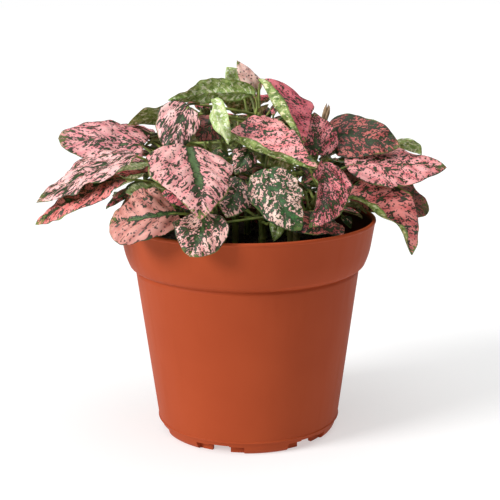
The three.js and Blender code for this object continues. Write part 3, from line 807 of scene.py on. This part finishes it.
def inner_leaf(stem, chance, length, place=None):
    """The lines and the stalk of a made-up leaf on a stem, which covers the place if there is one."""
    at = chance.uniform(0.3, 1.0)
    k = at * (len(stem) - 1)
    low = min(int(k), len(stem) - 2)
    joint = stem[low] + (stem[low + 1] - stem[low]) * (k - low)
    up = np.array([0, 0, 1.0])
    if place is None:
        turn = chance.uniform(0, math.tau)
        rise = math.radians(chance.uniform(-15, 50))
        level = np.array([math.cos(turn), math.sin(turn), 0.0])
        ahead = level * math.cos(rise) + up * math.sin(rise)
        reach = chance.uniform(4.5, 10)
    else:
        middle = np.array([place[0] + chance.uniform(-2, 2), 0, place[1] + chance.uniform(-2, 2)])
        sight = unit(middle - CAMERA_AT)
        way = middle + sight * chance.uniform(*SIGHT_DEPTHS) - joint
        reach = np.linalg.norm(way) - 0.5 * length
        if reach < 3:
            return None
        ahead = unit(way)
        level = unit(ahead * (1, 1, 0) + (0, 0, 0.01))
    stalk = np.array([joint + level * 1.5, joint + level * 3, joint + ahead * (0.6 * reach + 1.5),
                      joint + ahead * (reach + 1.5)])
    droop = chance.uniform(0.15, 0.6) * length
    t = STATIONS[:, None]
    rib = stalk[-1] + ahead * length * t - up * droop * t**2
    tangent = unit(np.gradient(rib, axis=0))
    lean = up + 0.5 * np.array([chance.uniform(-1, 1), chance.uniform(-1, 1), 0.0])
    face = unit(lean - tangent * (tangent @ lean)[:, None])
    right = np.cross(tangent, face)
    half = chance.uniform(0.27, 0.36) * length
    width = half * np.sin(math.pi * np.clip(t, 0, 1) ** 0.8) ** 0.8
    cup = chance.uniform(-0.3, 0.35)
    lines = []
    for v in (-1, -0.5, 0, 0.5, 1):
        lines.append(rib + right * width * v + face * width * (cup * abs(v) - 0.3 * cup * v * v))
    return np.array(lines), stalk


def roof(x):
    return np.interp(x, ROOF[:, 0], ROOF[:, 1])


def is_in_place(points):
    """Whether all of a leaf lies inside the plant's outline, above the soil and clear of the rim."""
    x, y, z = points.T
    radius = np.hypot(x, y)
    hidden = (x > LEFT_PART) | (z > LEFT_FLOOR)
    below = z < roof(x) - ROOF_FALL * np.maximum(y, 0)
    depth = np.where(y > 0, DEPTH_BEHIND, DEPTH_IN_FRONT)
    inside = (x / HALF_WIDTH) ** 2 + (y / depth) ** 2 < 1
    above = z > np.where(radius < OVER_SOIL, SOIL_TOP + SOIL_CLEARANCE, POT_HEIGHT + RIM_CLEARANCE)
    window = (x > STEM_WINDOW[0][0]) & (x < STEM_WINDOW[0][1])
    window &= (y < WINDOW_DEPTH) & (z > STEM_WINDOW[1][0]) & (z < STEM_WINDOW[1][1])
    return bool((below & inside & above & hidden & ~window).all())


def hides(points, seen):
    """The part of the points that stand between the viewer and a leaf that the frame shows."""
    eye = Vector(CAMERA_AT)
    count = 0
    for point in points:
        way = Vector(point) - eye
        hit = seen.ray_cast(eye, way.normalized())[3]
        count += hit is not None and hit > way.length
    return count / len(points)


def grid_places():
    """The places of the grid between the rim and the roof, across and up."""
    places = []
    for x in range(*PLACE_SIDES, PLACE_STEP):
        places += [(x, z) for z in range(PLACE_FLOOR, int(roof(x)) - 1, PLACE_STEP)]
    return places


def still_open(places, leaves):
    """The places at which the viewer's line of sight meets no leaf."""
    eye = Vector(CAMERA_AT)
    ways = [(place, (Vector((place[0], 0, place[1])) - eye).normalized()) for place in places]
    return [place for place, way in ways if leaves.tree.ray_cast(eye, way)[3] is None]


def grow_inner_leaves(cad_lines, stem_lines):
    # seen holds the leaves of the frame, leaves holds them and the grown ones, and crowd holds everything.
    seen, leaves, crowd = Crowd(), Crowd(), Crowd()
    for lines in cad_lines:
        seen.add(*shell(lines, SEEN_BLADE))
        leaves.add(*shell(lines, SEEN_BLADE))
        crowd.add(*shell(lines, CLEAR_BLADE))
    for line in stem_lines:
        crowd.add(*tube(line, [CLEAR_BLADE] * len(line), 6))
    for node in ("pot", "soil", "bud"):
        crowd.add(*node_shell(node))
    for group in (seen, leaves, crowd):
        group.settle()
    chance = random.Random(INNER_SEED)
    grown = 0

    def grow(length, place=None):
        """Tries one leaf, and says whether it found room."""
        nonlocal grown
        made = inner_leaf(chance.choice(stem_lines), chance, length, place)
        if made is None or not is_in_place(made[0][:, 1:].reshape(-1, 3)):
            return False
        lines, stalk = made
        blade = shell(lines, CLEAR_BLADE)
        stalk_tube = tube(stalk[1:], [CLEAR_STALK] * 3, 5)
        if crowd.touches(*blade) or crowd.touches(*stalk_tube):
            return False
        if hides(lines[:, 1:].reshape(-1, 3)[::2], seen.tree) > MOST_HIDING:
            return False
        crowd.add(*blade)
        crowd.add(*stalk_tube)
        crowd.settle()
        leaves.add(*shell(lines, SEEN_BLADE))
        leaves.settle()
        make_leaf(f"inner_leaf_{grown}", lines, stalk, chance.choice(INNER_LOOKS),
                  INNER_LEAF_SEEDS + grown, grid=PLAIN, ruffle=0.4, below=SHADED_INNER_UNDER)
        grown += 1
        return True

    places = still_open(grid_places(), leaves)
    for _ in range(PLACE_TRIES):
        for place in places:
            if grown < INNER_MOST and grow(chance.uniform(*PLACE_LENGTHS), place):
                places = still_open(places, leaves)
                break
    for trial in range(INNER_TRIES):
        if grown < INNER_MOST:
            grow(chance.uniform(*FREE_LENGTHS) * (1 - 0.4 * trial / INNER_TRIES))


# ---- Pot -------------------------------------------------------------------------------------------
def rounded(outline, steps=4):
    """The points of an outline whose corners (radius, height, rounding) are drawn as short curves."""
    points = []
    for i, (r, z, rounding) in enumerate(outline):
        here = np.array([r, z])
        if rounding == 0 or i in (0, len(outline) - 1):
            points.append(here)
            continue
        before = np.array(outline[i - 1][:2]) - here
        after = np.array(outline[i + 1][:2]) - here
        a = here + unit(before) * min(rounding, 0.48 * np.linalg.norm(before))
        b = here + unit(after) * min(rounding, 0.48 * np.linalg.norm(after))
        for t in np.linspace(0, 1, steps + 1):
            points.append((1 - t) ** 2 * a + 2 * t * (1 - t) * here + t**2 * b)
    return points


def turned(outline, segments):
    """Corners and faces of an outline turned about Z. The outline starts and ends on the axis."""
    ring = outline[1:-1]
    corners = [np.array([0, 0, outline[0][1]]), np.array([0, 0, outline[-1][1]])]
    for k in range(segments):
        angle = math.tau * k / segments
        corners += [np.array([r * math.cos(angle), r * math.sin(angle), z]) for r, z in ring]
    faces = []
    for k in range(segments):
        a, b = 2 + k * len(ring), 2 + (k + 1) % segments * len(ring)
        faces.append([0, b, a])
        faces.append([1, a + len(ring) - 1, b + len(ring) - 1])
        faces += [[a + i, b + i, b + i + 1, a + i + 1] for i in range(len(ring) - 1)]
    return corners, faces


def sector(inner, outer, low, high, middle, half_angle, steps=8):
    """Corners and faces of a closed block between two radii, two heights and two angles."""
    corners = []
    for angle in np.radians(np.linspace(middle - half_angle, middle + half_angle, steps + 1)):
        for r, z in ((inner, low), (outer, low), (outer, high), (inner, high)):
            corners.append([r * math.cos(angle), r * math.sin(angle), z])
    faces = [[0, 1, 2, 3], [4 * steps + i for i in (3, 2, 1, 0)]]
    for k in range(steps):
        for i in range(4):
            a, b = 4 * k + i, 4 * k + (i + 1) % 4
            faces.append([a, a + 4, b + 4, b])
    return corners, faces


def cut_away(piece, blocks):
    """Cuts several blocks that don't touch each other out of a piece."""
    corners, faces = [], []
    for block in blocks:
        join(corners, faces, *block)
    cutter = new_object("cutter", corners, faces)
    cut = piece.modifiers.new("cut", "BOOLEAN")
    cut.operation = "DIFFERENCE"
    cut.solver = "EXACT"
    cut.object = cutter
    bpy.context.view_layer.objects.active = piece
    bpy.ops.object.modifier_apply(modifier=cut.name)
    bpy.data.objects.remove(cutter)


def pot_material():
    look = Look("pot_plastic")
    place = look.place()
    cloud = look.noise(place, 22.0, detail=3.0)
    colour = look.mix(look.remap(cloud, 0.3, 0.7), srgb(162, 69, 37), srgb(169, 74, 40))
    streaks = look.noise(look.stretched(place, (1.0, 1.0, 0.06)), 260.0, detail=3.0)
    colour = look.mix(look.remap(streaks, 0.55, 0.8, 0.0, 0.12), colour, srgb(148, 62, 34))
    # Painted shade and soil stain darken the wall inside, where the surface looks towards the pot's axis.
    facing = look.tree.nodes.new("ShaderNodeNewGeometry").outputs["Normal"]
    outwards = look.dot(facing, look.stretched(place, (1.0, 1.0, 0.0)))
    height = look.dot(place, (0.0, 0.0, 1.0))
    edge = look.plus(height, look.times(cloud, SHADE_AND_STAIN_UNEVEN * MM))
    low = look.remap(edge, SHADE_AND_STAIN_FROM * MM, SHADE_AND_STAIN_TO * MM, SHADE_AND_STAIN_STRENGTH, 0.0)
    shaded_and_stained = look.times(look.remap(outwards, -0.03, -0.01, 1.0, 0.0), low)
    colour = look.mix(shaded_and_stained, colour, srgb(44, 28, 18))
    grain = look.noise(place, 1500.0, detail=2.0)
    return look.surface(
        Base_Color=colour,
        Roughness=look.remap(streaks, 0.3, 0.7, 0.5, 0.58),
        Specular_IOR_Level=0.08,
        Normal=look.bump(grain, 0.00003, strength=0.5),
    )


def fine_pot():
    foot = BASE_RADIUS - FOOT_DEPTH
    outline = [
        (0, FOOT_HEIGHT, 0),
        (foot, FOOT_HEIGHT, 0.5),
        (foot, 0, 0.4),
        (BASE_RADIUS - 0.3, 0, 0.7),
        (BASE_RADIUS + 0.9, 1.6, 0.8),
        (BODY_FOOT_RADIUS - 0.55, BODY_FOOT_Z - 0.55, 0.5),
        (BODY_FOOT_RADIUS + 0.12, BODY_FOOT_Z - 0.45, 0.12),
        (BODY_FOOT_RADIUS + 0.12, BODY_FOOT_Z - 0.05, 0.12),
        (BODY_FOOT_RADIUS - 0.12, BODY_FOOT_Z + 0.15, 0.12),
        (NECK_RADIUS, NECK_Z - 1.2, 0.5),
        (NECK_RADIUS - 0.45, NECK_Z + 0.1, 0.4),
        (NECK_RADIUS + 2.2, NECK_Z + 1.3, 1.2),
        (COLLAR_FOOT_RADIUS, COLLAR_FOOT_Z, 3.2),
        (RIM_RADIUS - 0.35, POT_HEIGHT - 1.3, 0.3),
        (RIM_RADIUS, POT_HEIGHT - 1.0, 0.3),
        (RIM_RADIUS - 0.1, POT_HEIGHT, 0.5),
        (RIM_RADIUS - 1.5, POT_HEIGHT, 0.6),
        (COLLAR_FOOT_RADIUS - WALL, COLLAR_FOOT_Z, 2),
        (NECK_RADIUS - WALL, NECK_Z + 1.6, 2),
        (BODY_FOOT_RADIUS - WALL, FOOT_HEIGHT + WALL, 1.2),
        (0, FOOT_HEIGHT + WALL, 0),
    ]
    piece = new_object("plastic_pot", *turned(rounded(outline), POT_SEGMENTS))
    reach = BODY_FOOT_RADIUS + 4
    angles = [FIRST_NOTCH + 360 / NOTCHES * i for i in range(NOTCHES)]
    cut_away(piece, [sector(foot - 1, reach, -1, FOOT_HEIGHT, a, GAP_HALF_ANGLE) for a in angles])
    recess = BASE_RADIUS - RECESS_DEPTH
    cut_away(piece, [sector(recess, reach, -1, FOOT_HEIGHT - 0.4, a, RECESS_HALF_ANGLE) for a in angles])
    drains = []
    for a in np.radians(angles):
        across = [
            [DRAIN_DISTANCE * math.cos(a), DRAIN_DISTANCE * math.sin(a), z] for z in (-2.0, 10.0)
        ]
        drains.append(tube(across, [DRAIN_RADIUS] * 2, 32))
    cut_away(piece, drains)
    soften(piece, 32)
    piece.data.materials.append(pot_material())
    finish_piece(piece, "pot", "pot")


# ---- Soil ------------------------------------------------------------------------------------------
def soil_material():
    look = Look("potting_mix")
    place = look.place()
    lumps = look.noise(place, 320.0, detail=5.0, roughness=0.65)
    colour = look.mix(look.remap(lumps, 0.35, 0.7), srgb(20, 15, 11), srgb(58, 44, 34))
    bits = look.spots(place, 240.0)
    colour = look.mix(look.remap(bits, 0.08, 0.14, 0.5, 0.0), colour, srgb(96, 74, 54))
    return look.surface(
        Base_Color=colour,
        Roughness=0.95,
        Specular_IOR_Level=0.2,
        Normal=look.bump(lumps, 0.0008),
    )


def crumb(at, size, chance):
    """A small angular lump: a box whose corners are pulled about, with its edges cut once."""
    corners, faces = [], []
    for z in (-1, 0, 1):
        for k in range(6):
            angle = math.tau * (k + chance.uniform(-0.3, 0.3)) / 6
            r = size * chance.uniform(0.6, 1.1) * (1 if z == 0 else 0.6)
            corners.append(at + np.array([r * math.cos(angle), r * math.sin(angle), 0.7 * size * z]))
    for layer in (0, 6):
        for k in range(6):
            a, b = layer + k, layer + (k + 1) % 6
            faces.append([a, b, b + 6, a + 6])
    faces += [[5, 4, 3, 2, 1, 0], [12, 13, 14, 15, 16, 17]]
    return corners, faces


CRUMBS = 900


def fine_soil():
    """The soil's closed body with an uneven top, and crumbs that lie half sunk in it."""
    chance = random.Random(77)
    rings, segments = 44, 120
    top_radius = COLLAR_FOOT_RADIUS - WALL - 0.7
    outline = [(0, FOOT_HEIGHT + WALL + 0.3), (BODY_FOOT_RADIUS - WALL - 1.5, FOOT_HEIGHT + WALL + 0.3)]
    outline += [(NECK_RADIUS - WALL - 0.6, NECK_Z + 1.6)]
    outline += [(top_radius * (1 - i / rings), SOIL_TOP - 1.0) for i in range(rings)]
    outline += [(0, SOIL_TOP - 0.6)]
    corners, faces = turned(outline, segments)
    corners = np.array(corners)
    top = corners[:, 2] > SOIL_TOP - 2
    x, y = corners[top, 0], corners[top, 1]
    bumps = waves(x, y, chance, 21.0) + 0.8 * waves(x, y, chance, 8.0) + 0.6 * waves(x, y, chance, 3.4)
    inside = np.clip((top_radius - np.hypot(x, y)) / 3, 0, 1)
    corners[top, 2] += np.clip(0.5 * bumps, -1.2, 0.75) * inside
    corners = list(corners)
    for _ in range(CRUMBS):
        r = top_radius * math.sqrt(chance.random()) * 0.98
        angle = chance.uniform(0, math.tau)
        size = chance.choice((0.4, 0.6, 0.6, 0.9, 1.3))
        at = np.array([r * math.cos(angle), r * math.sin(angle), SOIL_TOP - 0.8])
        join(corners, faces, *crumb(at, size, chance))
    piece = new_object("potting_soil", corners, faces, sharp=45)
    piece.data.materials.append(soil_material())
    finish_piece(piece, "soil", "soil")


# ---- Bud -------------------------------------------------------------------------------------------
def bud_material():
    look = Look("dry_bud")
    place = look.place()
    fibres = look.noise(look.stretched(place, (1.0, 1.0, 0.3)), 900.0, detail=4.0)
    colour = look.mix(look.remap(fibres, 0.38, 0.66), srgb(112, 88, 62), srgb(176, 148, 116))
    return look.surface(Base_Color=colour, Roughness=0.85, Normal=look.bump(fibres, 0.0002))


def fine_bud():
    """A dried bud: a cluster of narrow scales round a thin stalk."""
    corners_of = joined_corners("bud")[0]
    foot = corners_of[np.argmin(corners_of[:, 2])]
    head = corners_of[np.argmax(corners_of[:, 2])]
    ahead = unit(head - foot)
    side = unit(np.cross(ahead, [0, 1, 0]))
    other = np.cross(ahead, side)
    length = np.linalg.norm(head - foot)
    corners, faces = tube(
        [foot + ahead * length * t for t in (0, 0.3, 0.62)], [0.62, 0.5, 0.55], 10
    )
    corners = list(corners)
    for k in range(7):
        angle = math.tau * k / 7 * 2.4
        out = math.cos(angle) * side + math.sin(angle) * other
        spread = 0.35 + 0.1 * (k % 3)
        base = foot + ahead * length * (0.5 + 0.02 * k)
        long = 0.94 - 0.05 * (k % 2)
        line = [
            base + ahead * length * 0.5 * t * long + out * spread * 2.4 * math.sin(2.2 * t)
            for t in np.linspace(0, 1, 8)
        ]
        radii = [0.35, 0.6, 0.72, 0.74, 0.68, 0.52, 0.32, 0.08]
        join(corners, faces, *tube(line, radii, 8))
    piece = new_object("dried_bud", corners, faces, sharp=60)
    piece.data.materials.append(bud_material())
    finish_piece(piece, "bud", "bud")


# ---- Stage -----------------------------------------------------------------------------------------
def sun(name, towards, strength, softness):
    """A far soft light that shines from the direction towards."""
    light = bpy.data.lights.new(name, "SUN")
    light.energy = strength
    light.angle = math.radians(softness)
    lamp = bpy.data.objects.new(name, light)
    lamp.rotation_euler = Vector(towards).to_track_quat("Z", "Y").to_euler()
    bpy.context.scene.collection.objects.link(lamp)


def stage():
    scene = bpy.context.scene
    scene.view_settings.view_transform = "Standard"
    camera = bpy.data.objects.new("camera", bpy.data.cameras.new("camera"))
    camera.data.sensor_width = SENSOR
    camera.data.lens = CAMERA_LENS
    camera.location = Vector(CAMERA_AT) * MM
    pitch = Matrix.Rotation(math.radians(90 - CAMERA_PITCH), 3, "X")
    roll = Matrix.Rotation(math.radians(CAMERA_ROLL), 3, "Z")
    camera.rotation_euler = (pitch @ roll).to_euler()
    camera.data.clip_end = 100
    scene.collection.objects.link(camera)
    scene.camera = camera

    half = FLOOR_SIZE / 2 / MM
    floor = new_object("floor", [[-half, -half, 0], [half, -half, 0], [half, half, 0], [-half, half, 0]],
                       [[0, 1, 2, 3]])
    look = Look("pale_floor")
    glow = dict(Emission_Color=(1, 1, 1, 1), Emission_Strength=FLOOR_GLOW)
    floor.data.materials.append(look.surface(Base_Color=(*[FLOOR_PALENESS] * 3, 1), Roughness=0.9, **glow))

    world = bpy.data.worlds.new("studio")
    world.use_nodes = True
    tree = world.node_tree
    background = tree.nodes["Background"]
    background.inputs["Color"].default_value = (1, 1, 1, 1)
    seen = tree.nodes.new("ShaderNodeLightPath").outputs["Is Camera Ray"]
    level = tree.nodes.new("ShaderNodeMapRange")
    level.inputs["To Min"].default_value = SKY_LIGHT
    level.inputs["To Max"].default_value = 1.0
    tree.links.new(seen, level.inputs["Value"])
    tree.links.new(level.outputs["Result"], background.inputs["Strength"])
    scene.world = world
    sun("key", KEY_FROM, KEY_LIGHT, KEY_SOFTNESS)
    sun("top", TOP_FROM, TOP_LIGHT, TOP_SOFTNESS)


stage()
fine_pot()
fine_soil()
STEM_LINES = fine_stems()
fine_bud()
LEAF_LINES = cad_leaves()
grow_inner_leaves(LEAF_LINES, STEM_LINES)
